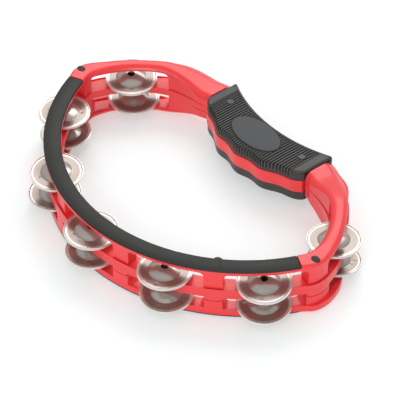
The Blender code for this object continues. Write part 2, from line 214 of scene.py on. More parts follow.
def put(name: str, surface: Surface, finish: Finish, body: str, stands_for: tuple[str, ...]) -> None:
    """Makes an object of a surface, with smooth shading but for sharp edges, and lets it ride a body.

    The object sits at the origin.

    Args:
        name: The piece's name.
        surface: Its mesh, in millimetres.
        finish: Its material.
        body: The CAD body that it rides.
        stands_for: The CAD nodes that it replaces.
    """
    mesh = bpy.data.meshes.new(name)
    faces = surface.quads.tolist() + surface.triangles.tolist()
    mesh.from_pydata((surface.points * MM).tolist(), [], faces)
    for key, value in surface.values.items():
        attribute = mesh.attributes.new(key, "FLOAT", "POINT")
        attribute.data.foreach_set("value", value.astype(np.float32))
    mesh.shade_smooth()
    mesh.set_sharp_from_angle(angle=SHARP_ANGLE)
    mesh.materials.append(finish.material())
    piece = bpy.data.objects.new(name, mesh)
    bpy.context.scene.collection.objects.link(piece)
    weighted = piece.modifiers.new("even_shading", "WEIGHTED_NORMAL")
    weighted.keep_sharp = True
    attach(piece, body)
    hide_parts(*stands_for)
    log.info("%s: %d faces on %s", name, len(faces), body)


# ---- Finishes ----


def linear(hex_colour: str) -> tuple[float, float, float, float]:
    """An sRGB colour such as #C81E28 as linear red, green, blue and alpha.

    Args:
        hex_colour: The colour, as # and six digits.

    Returns:
        The linear colour, with an alpha of 1.
    """
    found = [int(hex_colour[k : k + 2], 16) / 255 for k in (1, 3, 5)]
    red, green, blue = (c / 12.92 if c <= 0.04045 else ((c + 0.055) / 1.055) ** 2.4 for c in found)
    return (red, green, blue, 1.0)


def add_node(tree: bpy.types.NodeTree, kind: str, inputs: dict | None = None, **settings: object) -> bpy.types.Node:
    """Adds a node, with its settings, and gives each input a value or a link from another socket.

    Args:
        tree: The material's nodes.
        kind: The node's type.
        inputs: A value or a socket for each input, by name or number.
        settings: The node's own properties, set first.

    Returns:
        The new node.
    """
    node = tree.nodes.new(kind)
    for key, value in settings.items():
        setattr(node, key, value)
    for key, value in (inputs or {}).items():
        if isinstance(value, bpy.types.NodeSocket):
            tree.links.new(value, node.inputs[key])
        else:
            node.inputs[key].default_value = value
    return node


def maths(tree: bpy.types.NodeTree, operation: str, *values: bpy.types.NodeSocket | float) -> bpy.types.NodeSocket:
    """The result of a mathematics node on one or two values."""
    return add_node(tree, "ShaderNodeMath", dict(enumerate(values)), operation=operation).outputs[0]


def blend(
    tree: bpy.types.NodeTree,
    factor: bpy.types.NodeSocket,
    a: bpy.types.NodeSocket | tuple[float, ...],
    b: tuple[float, ...],
) -> bpy.types.NodeSocket:
    """A colour that is a where the factor is 0 and b where it is 1."""
    inputs = {"Factor": factor, "A": a, "B": b}
    return add_node(tree, "ShaderNodeMix", inputs, data_type="RGBA").outputs["Result"]


class Pattern(Enum):
    """What a surface's relief is, besides its fine grain."""

    NONE = "none"
    TURNED = "turned"  # fine rings round a pressed or turned disc
    GROOVED = "grooved"  # painted shade, dark at the bottom of the grooves that the mesh has


@dataclass(frozen=True)
class Finish:
    """A real material with its surface. The grain is a noise in Object coordinates."""

    name: str
    slot: str
    colour: str
    shade: str  # the darker colour of its slow variation
    roughness: float
    spread: float  # how far the roughness varies, up and down
    grain: float  # size of the grain, mm
    relief: float  # height of the grain, mm
    metallic: float = 0.0
    coat: float = 0.0
    scatter: float = 0.0
    gloss: float = 0.5  # the shader's specular level
    pattern: Pattern = Pattern.NONE
    ring_pitch: float = 0.9  # between a turned piece's rings, mm
    ring_relief: float = 0.01  # height of those rings, mm
    groove: str = "#0C0C0B"  # the painted shade's colour down in a groove
    highlight_from: float = 0.0  # radius beyond which a turned piece's edge gets a painted highlight, mm
    dull_band: tuple[float, float] = (14.5, 19.5)  # radii of the dull band inside it, mm
    fades: tuple[float, float, float] = (3.0, 1.0, 0.2)  # the band's onset and end, and the edge's, mm
    dull_tone: str = "#958A82"  # the dull band's colour
    highlight_tone: str = "#E8E4E0"  # the painted highlight's colour on the edge

    def material(self) -> bpy.types.Material:
        """The node material, made once for all the pieces of this finish.

        Returns:
            The material.
        """
        found = bpy.data.materials.get(self.name)
        if found:
            return found
        made = bpy.data.materials.new(self.name)
        made.use_nodes = True
        tree = made.node_tree
        shader = tree.nodes["Principled BSDF"]
        place = add_node(tree, "ShaderNodeTexCoord").outputs["Object"]
        slow = add_node(tree, "ShaderNodeTexNoise", {"Vector": place, "Scale": FLOW_SCALE, "Detail": 3.0})
        scale = 1000 / self.grain
        fine = add_node(tree, "ShaderNodeTexNoise", {"Vector": place, "Scale": scale, "Detail": 2.0})
        colour = blend(tree, slow.outputs["Fac"], linear(self.shade), linear(self.colour))
        # Painted shade down in the grooves; the crests keep the lighter colour as a painted highlight
        if self.pattern is Pattern.GROOVED:
            colour = self._groove_shading(tree, colour)
        # A painted highlight round a turned piece's edge, with a duller, browner band inside it
        if self.highlight_from:
            colour = self._dull_band_and_edge_highlight(tree, colour)
        rough = add_node(
            tree,
            "ShaderNodeMapRange",
            {
                "Value": slow.outputs["Fac"],
                "From Min": FLOW_RANGE[0],
                "From Max": FLOW_RANGE[1],
                "To Min": self.roughness - self.spread,
                "To Max": self.roughness + self.spread,
            },
        )
        height = maths(tree, "MULTIPLY", fine.outputs["Fac"], self.relief * MM)
        if self.pattern is Pattern.TURNED:
            height = self._rings(tree, height)
        bump = add_node(tree, "ShaderNodeBump", {"Height": height, "Distance": 1.0, "Strength": 1.0})
        tree.links.new(colour, shader.inputs["Base Color"])
        tree.links.new(rough.outputs[0], shader.inputs["Roughness"])
        tree.links.new(bump.outputs["Normal"], shader.inputs["Normal"])
        shader.inputs["Metallic"].default_value = self.metallic
        shader.inputs["Specular IOR Level"].default_value = self.gloss
        shader.inputs["Coat Weight"].default_value = self.coat
        shader.inputs["Coat Roughness"].default_value = COAT_ROUGHNESS
        if self.scatter:
            shader.inputs["Subsurface Weight"].default_value = self.scatter
            shader.inputs["Subsurface Radius"].default_value = SCATTER_RADIUS
            shader.inputs["Subsurface Scale"].default_value = SCATTER_DEPTH * MM
        made.diffuse_color = linear(self.colour)
        return made

    def _groove_shading(self, tree: bpy.types.NodeTree, colour: bpy.types.NodeSocket) -> bpy.types.NodeSocket:
        """Paints shade: darkens a colour towards black by the mesh's "groove", 0 on a crest, which is left lighter as a
        painted highlight, and 1 down in a groove.
        """
        deep = add_node(tree, "ShaderNodeAttribute", attribute_name="groove").outputs["Fac"]
        return blend(tree, deep, colour, linear(self.groove))

    def _dull_band_and_edge_highlight(self, tree: bpy.types.NodeTree, colour: bpy.types.NodeSocket) -> bpy.types.NodeSocket:
        """Dulls a turned piece's colour in a band inside its edge and paints a highlight on the edge itself, by
        "turned".

        Args:
            tree: The material's nodes.
            colour: The colour to start from.

        Returns:
            The changed colour.
        """
        radius = add_node(tree, "ShaderNodeAttribute", attribute_name="turned").outputs["Fac"]
        inner, outer = self.dull_band
        onset, end_fade, edge_fade = self.fades
        tones = (
            (inner - onset, inner, self.dull_tone),
            (outer, outer + end_fade, self.colour),
            (self.highlight_from - edge_fade, self.highlight_from, self.highlight_tone),
        )
        for start, end, tone in tones:
            reach = add_node(tree, "ShaderNodeMapRange", {"Value": radius, "From Min": start, "From Max": end})
            colour = blend(tree, reach.outputs[0], colour, linear(tone))
        return colour

    def _rings(self, tree: bpy.types.NodeTree, height: bpy.types.NodeSocket) -> bpy.types.NodeSocket:
        """Adds rings to a height: a sine of the distance from the axis, which the mesh keeps as "turned".

        Args:
            tree: The material's nodes.
            height: The height to start from.

        Returns:
            The height with its rings.
        """
        radius = add_node(tree, "ShaderNodeAttribute", attribute_name="turned").outputs["Fac"]
        turns = maths(tree, "MULTIPLY", radius, 2 * math.pi / self.ring_pitch)
        rings = maths(tree, "MULTIPLY", maths(tree, "SINE", turns), self.ring_relief * MM)
        return maths(tree, "ADD", height, rings)


# ABS from a polished mould: even deep colour, a soft gloss and a faint flow in its roughness
RED_ABS = Finish("moulded_red_abs", "red_abs", "#EE383C", "#E22D32", 0.36, 0.05, 1.6, 0.004, coat=0.15, scatter=0.06)
# Moulded rubber: matt, with a fine pebble that breaks up its highlight
BUMPER_RUBBER = Finish("moulded_bumper_rubber", "black_rubber", "#2E2E2B", "#20201E", 0.56, 0.06, 0.9, 0.02, gloss=0.32)
# Soft overmoulded grip: grey with a painted highlight on the ribs' crests and painted shade, nearly black, down in the
# grooves
GRIP_RUBBER = Finish(
    "overmoulded_grip", "black_grip", "#5A5A56", "#4C4C49", 0.36, 0.06, 0.8, 0.012,
    gloss=0.3, pattern=Pattern.GROOVED,
)  # fmt: skip
# The same rubber left smooth: the plain oval inlay, a little bluer and with a tighter highlight
BADGE_RUBBER = Finish("smooth_grip_badge", "black_grip", "#3E4042", "#36383A", 0.46, 0.05, 0.8, 0.008, gloss=0.3)
# Pressed nickel-plated steel: bright, with faint turned rings, a duller band and a painted highlight along the edge
NICKEL = Finish(
    "pressed_nickel_steel", "nickel_steel", "#CCC8C2", "#A39C94", 0.24, 0.06, 2.4, 0.012,
    metallic=0.7, pattern=Pattern.TURNED, ring_pitch=1.1, ring_relief=0.004, highlight_from=22.5,
)  # fmt: skip
# Drawn and plated steel wire: bright and fine-grained, so a pin catches one thin highlight
PIN_STEEL = Finish("drawn_pin_steel", "nickel_steel", "#B9B5AF", "#9E9A94", 0.26, 0.06, 1.2, 0.004, metallic=1.0)
# Blackened steel: the grip's screws, dull against the rubber
BLACK_STEEL = Finish("blackened_screw_steel", "black_steel", "#4A4A4A", "#3C3C3C", 0.42, 0.06, 0.8, 0.006, metallic=0.6)
# Zinc-plated steel: the corner bolts and nuts, pale and a little cloudy
ZINC = Finish("zinc_plated_steel", "zinc_steel", "#A9ABAD", "#8E9092", 0.34, 0.08, 0.9, 0.006, metallic=1.0)


# ---- The frame's plan ----


@dataclass
class FramePlan:
    """The middle line of the frame seen from above: a striking arc, a small corner arc and a shoulder
    arc on each side, and a short run into the grip. It is measured by s, in millimetres along the
    line from the middle of the striking arc: positive to the right, negative to the left."""

    strike_centre: tuple[float, float] = (0.0, 71.8)
    strike_radius: float = 165.0
    shoulder_centre: tuple[float, float] = (57.0, -5.2)
    shoulder_radius: float = 100.0
    corner_radius: float = 20.0
    shoulder_end: float = 77.0
    arm_end: tuple[float, float] = (65.8, 96.1)
    steps: int = 500

    def __post_init__(self) -> None:
        """Works out the corner arc, tangent inside both others, and the table of the line's points."""
        strike, shoulder = np.array(self.strike_centre), np.array(self.shoulder_centre)
        reach, near = self.strike_radius - self.corner_radius, self.shoulder_radius - self.corner_radius
        between = shoulder - strike
        length = np.hypot(*between)
        along = (reach**2 - near**2 + length**2) / (2 * length)
        aside = math.sqrt(reach**2 - along**2)
        unit = between / length
        centre = strike + unit * along + np.array([-unit[1], unit[0]]) * aside
        limit = math.atan2(centre[0] - strike[0], strike[1] - centre[1])
        start = math.atan2(centre[1] - shoulder[1], centre[0] - shoulder[0])
        end = math.radians(self.shoulder_end)
        self.corner_s = self.strike_radius * limit
        self.shoulder_s = self.corner_s + self.corner_radius * (start - limit + math.pi / 2)
        self.shoulder_start = math.degrees(start)
        pieces = [
            (strike, self.strike_radius, np.linspace(-math.pi / 2, limit - math.pi / 2, self.steps)),
            (centre, self.corner_radius, np.linspace(limit - math.pi / 2, start, self.steps)[1:]),
            (shoulder, self.shoulder_radius, np.linspace(start, end, self.steps)[1:]),
        ]
        points = [c + r * np.stack([np.cos(a), np.sin(a)], -1) for c, r, a in pieces]
        turns = [a for _, _, a in pieces]
        run, run_turns = self._run_into_grip(points[-1][-1], end)
        points, turns = np.concatenate([*points, run]), np.concatenate([*turns, run_turns])
        self.table_s = np.concatenate([[0], np.cumsum(np.hypot(*np.diff(points, axis=0).T))])
        self.table_x, self.table_y = points.T
        self.table_turn = turns
        self.end_s = float(self.table_s[-1])

    def _run_into_grip(self, start: Array, turn: float) -> tuple[Array, Array]:
        """The last stretch: a cubic from the shoulder arc to the arm's end, tangent to both.

        Args:
            start: Where the shoulder arc ends.
            turn: The angle on it there.

        Returns:
            The points, and the direction of the outward offset at each.
        """
        end = np.array(self.arm_end)
        t = np.linspace(0, 1, 60)[1:, None]
        reach = np.hypot(*(end - start))
        leave, arrive = reach * np.array([-math.sin(turn), math.cos(turn)]), np.array([-reach, 0.0])
        h00, h10 = 2 * t**3 - 3 * t**2 + 1, t**3 - 2 * t**2 + t
        h01, h11 = -2 * t**3 + 3 * t**2, t**3 - t**2
        points = h00 * start + h10 * leave + h01 * end + h11 * arrive
        return points, mix(turn, math.pi / 2, ease(t[:, 0]))

    def point(self, s: Array, offset: Array) -> tuple[Array, Array]:
        """X and Y of points by their s and their offset outwards from the middle line.

        Args:
            s: Places along the middle line.
            offset: Distances outwards from it.

        Returns:
            The two coordinates.
        """
        reach = np.abs(s)
        turn = np.interp(reach, self.table_s, self.table_turn)
        x = np.interp(reach, self.table_s, self.table_x) + offset * np.cos(turn)
        y = np.interp(reach, self.table_s, self.table_y) + offset * np.sin(turn)
        return np.where(s < 0, -x, x), y

    def shoulder_angle(self, s: Array) -> Array:
        """Degrees up the shoulder arc, by s on either side. It goes on below and above the arc."""
        return self.shoulder_start + np.degrees((np.abs(s) - self.shoulder_s) / self.shoulder_radius)

    def on_strike(self, degrees: float) -> float:
        """The s of an angle from the middle of the striking arc."""
        return self.strike_radius * math.radians(degrees)

    def on_shoulder(self, degrees: float) -> float:
        """The s of an angle up the right shoulder arc."""
        return self.shoulder_s + self.shoulder_radius * math.radians(degrees - self.shoulder_start)


@dataclass
class FrameForm:
    """Heights and widths of the three red mouldings along the frame's middle line."""

    plan: FramePlan
    height: float = HEIGHT
    ring_low: float = 23.1
    ring_high: float = 29.9
    slot_top: float = 46.1
    under_rail: float = 47.3
    web_half: float = 6.0
    rail_half: float = 7.4
    ring_half: float = 7.7
    gap: float = 0.3
    corner_bulge: float = 1.5
    arm_bulge: float = 4.0
    arm_top: float = 52.0
    end_half: float = 12.5
    end_top: float = 41.6
    bumper_end: float = 65.4
    bumper_bed: float = 50.7
    slot_half: float = 32.3
    station_pitch: float = 27.75
    slot_slant: float = 6.0
    slant_reach: float = 11.0
    shoulder_slot: tuple[float, float] = (13.2, 57.0)
    # Degrees up the shoulder arc between which each change happens
    arm_swell: tuple[float, float] = (45, 70)
    flare_span: tuple[float, float] = (48, 85)
    drop_span: tuple[float, float] = (52, 81)
    sink_span: tuple[float, float] = (14, 28)
    round_span: tuple[float, float] = (8, 26)
    fall_span: tuple[float, float] = (48, 68)
    corner_fade: float = 42
    # Radii of the rail's long edges: under the bumper, at the corner, on the arm, and what a fall adds
    bed_edge: float = 0.5
    corner_edge: float = 2.6
    arm_edge: float = 6.8
    fall_edge: float = 3.0

    def slots(self) -> list[tuple[float, float]]:
        """Where each slot starts and ends along the line, from left to right.

        Returns:
            The start and end of each of the seven.
        """
        plan = self.plan
        right = tuple(plan.on_shoulder(a) for a in self.shoulder_slot)
        middles = [plan.on_strike(k * self.station_pitch) for k in range(-2, 3)]
        strike = [(m - self.slot_half, m + self.slot_half) for m in middles]
        return [(-right[1], -right[0]), *strike, right]

    def slant(self, s: Array) -> Array:
        """How far the outer mouth of a shoulder slot starts beyond its inner mouth, along the line."""
        from_end = np.abs(s) - self.plan.on_shoulder(self.shoulder_slot[0])
        return np.sign(s) * self.slot_slant * np.exp(-((from_end / self.slant_reach) ** 2))

    def swell(self, s: Array) -> Array:
        """Extra width outside: the corners' bulge, and the arms' towards the grip.

        Args:
            s: Places along the middle line.

        Returns:
            The width to add outside.
        """
        a = self.plan.shoulder_angle(s)
        start = self.plan.shoulder_start
        rise = share(np.abs(s), self.plan.on_strike(self.bumper_end) - 1, self.plan.corner_s + 4)
        corner = self.corner_bulge * rise * (1 - share(a, start + 2, self.corner_fade))
        return corner + self.arm_bulge * share(a, *self.arm_swell)

    def flare(self, s: Array) -> Array:
        """0 at the frame's usual width, 1 at the width of the arm's end."""
        return share(self.plan.shoulder_angle(s), *self.flare_span)

    def drop(self, s: Array) -> Array:
        """0 along the frame, 1 where the arm has come down to the grip's height."""
        return share(self.plan.shoulder_angle(s), *self.drop_span)

    def web(self, s: Array) -> Array:
        """Half the wall's thickness between the slots."""
        return mix(self.web_half, self.end_half, self.flare(s))

    def rail(self, s: Array) -> Array:
        """Half the rail's width."""
        return mix(self.rail_half, self.end_half, self.flare(s))

    def covered(self, s: Array) -> Array:
        """Whether the bumper lies on the rail there."""
        return np.abs(s) < self.plan.on_strike(self.bumper_end)

    def top(self, s: Array, lower: bool) -> Array:
        """The rail's height: stepped down under the bumper, lower on the arms and down to the grip.

        Args:
            s: Places along the middle line.
            lower: Whether it is the lower shell, whose arms aren't sunk.

        Returns:
            Heights of the crown.
        """
        sink = share(self.plan.shoulder_angle(s), *self.sink_span)
        crest = self.height if lower else mix(self.height, self.arm_top, sink)
        arms = mix(crest, self.end_top, self.drop(s))
        return np.where(self.covered(s), self.bumper_bed, arms)

    def rounding(self, s: Array, outside: float) -> Array:
        """Radius of the rail's long edges: small under the bumper, nearly half the rail on the arms,
        and more on the outside where an arm falls to the grip.

        Args:
            s: Places along the middle line.
            outside: 1 for the outer edge, 0 for the inner one.

        Returns:
            Radii in millimetres.
        """
        a = self.plan.shoulder_angle(s)
        fall = outside * self.fall_edge * share(a, *self.fall_span)
        open_edge = mix(self.corner_edge, self.arm_edge, share(a, *self.round_span))
        return np.where(self.covered(s), self.bed_edge, open_edge + fall)


# ---- Frame mouldings ----


@dataclass
class Contour:
    """The lower edge of a shell's wall as seen from outside: its s and z, the way from it into the
    wall, and the s at which the same line meets the rail."""

    s: Array
    z: Array
    into_s: Array
    into_z: Array
    rail_s: Array

    def mirrored(self) -> Contour:
        """The same line on the other side of s = 0, in the same order of s."""
        flip = [-self.s, self.z, -self.into_s, self.into_z, -self.rail_s]
        return Contour(*(v[::-1] for v in flip))

    @staticmethod
    def chained(parts: list[Contour]) -> Contour:
        """Contours one after another."""
        return Contour(*(np.concatenate([getattr(p, k) for p in parts]) for k in Contour.__annotations__))

    def with_columns(self, places: list[float]) -> Contour:
        """The contour with further points where its line meets the rail at these places.

        Args:
            places: Where lines must meet the rail.

        Returns:
            The longer contour.
        """
        rail = np.sort(np.concatenate([self.rail_s, places]))
        kept = [np.interp(rail, self.rail_s, getattr(self, k)) for k in ("s", "z", "into_s", "into_z")]
        return Contour(*kept, rail)


@dataclass
class Shell:
    """The upper or lower frame moulding: a wall with slots, under a wider rail."""

    form: FrameForm
    lower: bool
    slot_corner: float = 4.6
    foot_corner: float = 0.8
    edge: float = 0.45
    step: float = 2.2

    def _rise(self, at: float, spread: float) -> Contour:
        """From a post's foot up its side and round into the slot's ceiling, at a slot's left end.

        The foot's corner and the ceiling's are quarter circles; the side between them is straight.

        Args:
            at: The s of the slot's left end.
            spread: How far back along the rail its lines fan out.

        Returns:
            The contour of that end.
        """
        low, high = self.form.ring_high + self.form.gap, self.form.slot_top
        r, f = self.slot_corner, self.foot_corner
        a = np.radians(np.linspace(0, 90, 5))[:-1]
        foot = (at - f + f * np.sin(a), low + f - f * np.cos(a), -np.sin(a), np.cos(a))
        z = np.linspace(low + f, high - r, 7)[:-1]
        side = (np.full_like(z, at), z, np.full_like(z, -1.0), np.zeros_like(z))
        b = np.radians(np.linspace(0, 90, 8))[:-1]
        bend = (at + r - r * np.cos(b), high - r + r * np.sin(b), -np.cos(b), np.sin(b))
        count = len(a) + len(z)
        fan = np.linspace(at - spread, at - 0.25, count + 1)[:-1]
        rail = np.concatenate([fan, bend[0] - 0.25 * (1 - b / (np.pi / 2))])
        return Contour(*(np.concatenate(v) for v in zip(foot, side, bend)), rail)

    def _level(self, start: float, end: float, z: float, rail: tuple[float, float]) -> Contour:
        """A level stretch, whose lines spread evenly over a stretch of the rail.

        Args:
            start: Its first s.
            end: Its last s.
            z: Its height.
            rail: The stretch of the rail that its lines meet.

        Returns:
            The contour.
        """
        count = max(3, math.ceil(abs(end - start) / self.step))
        t = np.linspace(0, 1, count + 1)
        s = mix(start, end, t)
        return Contour(s, np.full_like(s, z), np.zeros_like(s), np.ones_like(s), mix(*rail, t))

    def contour(self) -> Contour:
        """The whole lower edge, from the left arm's end to the right one's.

        Returns:
            The contour, with lines close together where the bumper's step is.
        """
        end, slots = self.form.plan.end_s, self.form.slots()
        starts = [-end] + [b for _, b in slots]
        stops = [a for a, _ in slots] + [end]
        low, high = self.form.ring_high + self.form.gap, self.form.slot_top
        parts = []
        for k, (start, stop) in enumerate(zip(starts, stops)):
            spread = min(4.5, 0.3 * (stop - start))
            after, before = k > 0, k < len(slots)
            first = start + self.foot_corner if after else start
            last = stop - self.foot_corner if before else stop
            reach = (start + spread if after else start, stop - spread if before else stop)
            if after:
                parts.append(self._rise(-start, spread).mirrored())
            foot = self._level(first, last, low, reach)
            cut = slice(1 if after else 0, -1 if before else None)
            parts.append(Contour(*(getattr(foot, name)[cut] for name in Contour.__annotations__)))
            if before:
                parts.append(self._rise(stop, spread))
                ceiling = (stop + self.slot_corner, slots[k][1] - self.slot_corner)
                parts.append(self._level(*ceiling, high, ceiling))
        bumper = self.form.plan.on_strike(self.form.bumper_end)
        steps = [side * bumper + d for side in (-1, 1) for d in (-0.03, 0.03)]
        return Contour.chained(parts).with_columns(steps)

    def _side(self, line: Contour, swell: float) -> list[tuple[Array, Array, Array]]:
        """Rows of one face of the wall, (s, offset, z), from its lower edge to the crown.

        The first rows round the lower edge off, a quarter circle from the underside to the face. The
        next ones run up the web, flare out under the rail and go round the rail's long edge.

        Args:
            line: The wall's lower edge.
            swell: 1 on the outside, where the frame's bulges are, and 0 inside.

        Returns:
            The rows, from the lower edge to the crown.
        """
        form, e = self.form, self.edge
        rows = []

        def row(s: Array, half: Array, z: Array) -> None:
            """Keeps one row: half is the distance from the middle line before any bulge."""
            rows.append((s, half + swell * form.swell(s), z))

        slant = swell * form.slant(line.s)
        for degrees in (0, 30, 60, 90):
            a = math.radians(degrees)
            d = e * (1 - math.cos(a))
            s = line.s + slant + line.into_s * d
            row(s, form.web(s) - e * (1 - math.sin(a)), line.z + line.into_z * d)
        s, z = line.s + slant + line.into_s * e * 1.5, line.z + line.into_z * e * 1.5
        row(s, form.web(s), z)
        rail_s = line.rail_s
        top, rounding = form.top(rail_s, self.lower), form.rounding(rail_s, swell)
        low = form.ring_high + form.gap
        under = mix(form.under_rail, (low + top) / 2, form.drop(rail_s))
        for t in (0.3, 0.6, 1.0):
            mid_s = mix(s, rail_s, t)
            row(mid_s, form.web(mid_s), mix(z, under, t))
        lip = np.maximum(under + 0.9, top - rounding)
        angle = np.arcsin(np.clip((lip - (top - rounding)) / rounding, 0, 0.98))
        rail, web = form.rail(rail_s), form.web(rail_s)
        half = rail - rounding * (1 - np.cos(angle))
        for out, up in ((0.35, 0.12), (0.8, 0.45), (1.0, 0.9)):
            row(rail_s, mix(web, np.maximum(half, web), out), under + up * np.minimum(lip - under, 1.0))
        for t in np.linspace(0, 1, 9):
            turn = mix(angle, np.pi / 2, t)
            edge = rail - rounding * (1 - np.cos(turn))
            row(rail_s, np.minimum(edge, np.maximum(half, web)), top - rounding * (1 - np.sin(turn)))
        return rows

    def surface(self) -> Surface:
        """The whole moulding: the outer face, the crown, the inner face and the underside in a loop.

        Returns:
            The closed shell.
        """
        line = self.contour()
        outside = self._side(line, 1.0)
        inside = [(s, -offset, z) for s, offset, z in self._side(line, 0.0)]
        loop = outside + inside[::-1]
        s, offset, z = (np.stack([row[k] for row in loop], -1) for k in range(3))
        x, y = self.form.plan.point(s, offset)
        if self.lower:
            z = self.form.height - z
        return swept(np.stack([x, y, z], -1))


def bar(plan: FramePlan, s: Array, back: Array, front: Array, low: Array, high: Array, edge: float) -> Surface:
    """A bar with rounded long edges, carried along the frame's middle line.

    Args:
        plan: The line.
        s: The sections' places on it.
        back: Each section's inner offset.
        front: Each section's outer offset.
        low: Each section's lower height.
        high: Each section's upper height.
        edge: Radius of the edges, as quarter circles.

    Returns:
        The closed bar.
    """
    a = np.radians(np.linspace(0, 90, 4))
    outs, ups = [], []
    for turn, (side, rise) in enumerate(((1, -1), (1, 1), (-1, 1), (-1, -1))):
        ramp = a if turn % 2 == 0 else a[::-1]
        out, up = edge * (1 - np.sin(ramp)), edge * (1 - np.cos(ramp))
        outs.append(np.subtract.outer(front, out) if side > 0 else np.add.outer(back, out))
        ups.append(np.add.outer(low, up) if rise < 0 else np.subtract.outer(high, up))
    x, y = plan.point(s[:, None], np.concatenate(outs, 1))
    return swept(np.stack([x, y, np.concatenate(ups, 1)], -1))


@dataclass
class CentreRing:
    """The middle moulding: a flat ring between the shells. Its upright outer edge laps both shells and
    comes down in a tab with round corners at each front post and each corner."""

    form: FrameForm
    edge: float = 0.7
    step: float = 2.0
    rim_back: float = 7.0
    rim: tuple[float, float] = (21.7, 31.0)
    tab_drop: float = 3.3
    tab_half: float = 7.3
    corner_tab: float = 15.0
    rim_end: tuple[float, float] = (50.0, 60.0)
    rim_edge: float = 0.35

    def tabs(self) -> list[tuple[float, float]]:
        """Where each tab on the right side starts and ends along the line.

        Returns:
            Pairs of s.
        """
        plan, form = self.form.plan, self.form
        posts = [plan.on_strike(k * form.station_pitch) for k in (0.5, 1.5)]
        last = plan.on_strike(2 * form.station_pitch) + form.slot_half
        return [(p - self.tab_half, p + self.tab_half) for p in posts] + [(last + 0.4, plan.corner_s + self.corner_tab)]

    def rim_low(self, s: Array) -> Array:
        """The height of the rim's lower edge: quarter circles lead into and out of each tab.

        Args:
            s: Places along the middle line.

        Returns:
            The heights.
        """
        reach = np.abs(s)
        depth = np.zeros_like(reach)
        for start, stop in self.tabs():
            inside = np.clip(np.minimum(reach - start, stop - reach) / self.tab_drop, 0, 1)
            depth = np.maximum(depth, np.sqrt(1 - (1 - inside) ** 2))
        fade = share(self.form.plan.shoulder_angle(s), *self.rim_end)
        return mix(self.rim[0], self.form.ring_low + 0.3, fade) - self.tab_drop * depth

    def rim_surface(self) -> Surface:
        """The outer edge, with finer steps at the tabs' corners.

        Returns:
            The closed rim.
        """
        form, plan = self.form, self.form.plan
        end = plan.on_shoulder(self.rim_end[1] + 2)
        corners = [place for start, stop in self.tabs() for place in (start, stop - self.tab_drop)]
        fine = [np.linspace(0, self.tab_drop, 9) + place for place in corners]
        right = np.concatenate([np.linspace(0, end, 200), *fine])
        s = np.unique(np.round(np.concatenate([-right, right]), 3))
        fade = share(plan.shoulder_angle(s), *self.rim_end)
        front = mix(form.ring_half, form.end_half, form.flare(s)) + 0.05 + form.swell(s)
        high = mix(self.rim[1], form.ring_high - 0.3, fade)
        return bar(plan, s, self.rim_back + form.swell(s), front, self.rim_low(s), high, self.rim_edge)

    def surface(self) -> Surface:
        """The flat ring with its rim.

        Returns:
            Both as one surface.
        """
        form = self.form
        end = form.plan.end_s
        s = np.linspace(-end, end, math.ceil(2 * end / self.step))
        half = mix(form.ring_half, form.end_half, form.flare(s))
        level = np.ones_like(s)
        ring = bar(form.plan, s, -half, half + form.swell(s), form.ring_low * level, form.ring_high * level, self.edge)
        return ring.joined(self.rim_surface())


@dataclass
class LowerEdge:
    """What the lower shell has outside besides its wall: a lip along its rail, which spreads into a
    ledge round each corner, and a raised pad under each of the ring's tabs."""

    form: FrameForm
    ring: CentreRing
    lip_top: float = 8.7
    lip_low: float = 2.6
    lip_back: float = 5.8
    ledge: tuple[float, float] = (1.6, 3.4)
    pin_clear: tuple[float, float] = (14.0, 19.0)
    seam: float = 0.9
    lip_edge: float = 0.6
    lip_fade: tuple[float, float] = (50, 55)
    lip_end: float = 56
    shoulder_pin: float = 36.5
    pad_back: float = 5.4
    pad_proud: float = 0.1
    pad_edge: float = 0.3

    def spread(self, s: Array) -> Array:
        """The ledge's extra width: a rise at the corner, more at the foot of the shoulder, then none.

        Args:
            s: Places along the middle line.

        Returns:
            The width to add outside.
        """
        plan = self.form.plan
        a = plan.shoulder_angle(s)
        rise = share(np.abs(s), plan.corner_s - 10, plan.corner_s + 4)
        wide = mix(self.ledge[0], self.ledge[1], share(a, 2, 20))
        return wide * rise * (1 - share(a, 22, 36))

    def lip_surface(self) -> Surface:
        """The lip. It is lower beside the pins, where the jingles lie over it.

        Returns:
            The closed lip.
        """
        form, plan = self.form, self.form.plan
        end = plan.on_shoulder(self.lip_end)
        s = np.linspace(-end, end, 420)
        pins = [plan.on_strike(k * form.station_pitch) for k in range(-2, 3)]
        pins += [side * plan.on_shoulder(self.shoulder_pin) for side in (-1, 1)]
        nearest = np.abs(s[:, None] - np.array(pins)).min(1)
        cleared = form.height - form.slot_top - 0.2
        top = mix(cleared, self.lip_top, share(nearest, *self.pin_clear))
        top = mix(top, cleared, share(plan.shoulder_angle(s), *self.lip_fade))
        swell = form.swell(s)
        front = form.rail(s) + 0.03 + swell + self.spread(s)
        return bar(plan, s, self.lip_back + swell, front, np.full_like(s, self.lip_low), top, self.lip_edge)

    def pad_surface(self, start: float, stop: float) -> Surface:
        """A pad under a tab: its upper edge follows the tab's, a seam's width below.

        Args:
            start: The s at which the tab starts.
            stop: The s at which it ends.

        Returns:
            The closed pad.
        """
        form, ring = self.form, self.ring
        fine = np.linspace(0, ring.tab_drop, 12)
        s = np.unique(np.round(np.concatenate([start + fine, np.linspace(start, stop, 16), stop - fine]), 3))
        s = s if start > 0 else s[::-1]
        swell = form.swell(s)
        low, high = np.full_like(s, self.lip_low + 1), ring.rim_low(s) - self.seam
        back, front = self.pad_back + swell, form.rail(s) + self.pad_proud + swell
        return bar(form.plan, s, back, front, low, high, self.pad_edge)

    def surface(self) -> Surface:
        """The lip and all the pads.

        Returns:
            All of them as one surface.
        """
        found = self.lip_surface()
        for start, stop in self.ring.tabs():
            found = found.joined(self.pad_surface(start, stop)).joined(self.pad_surface(-stop, -start))
        return found


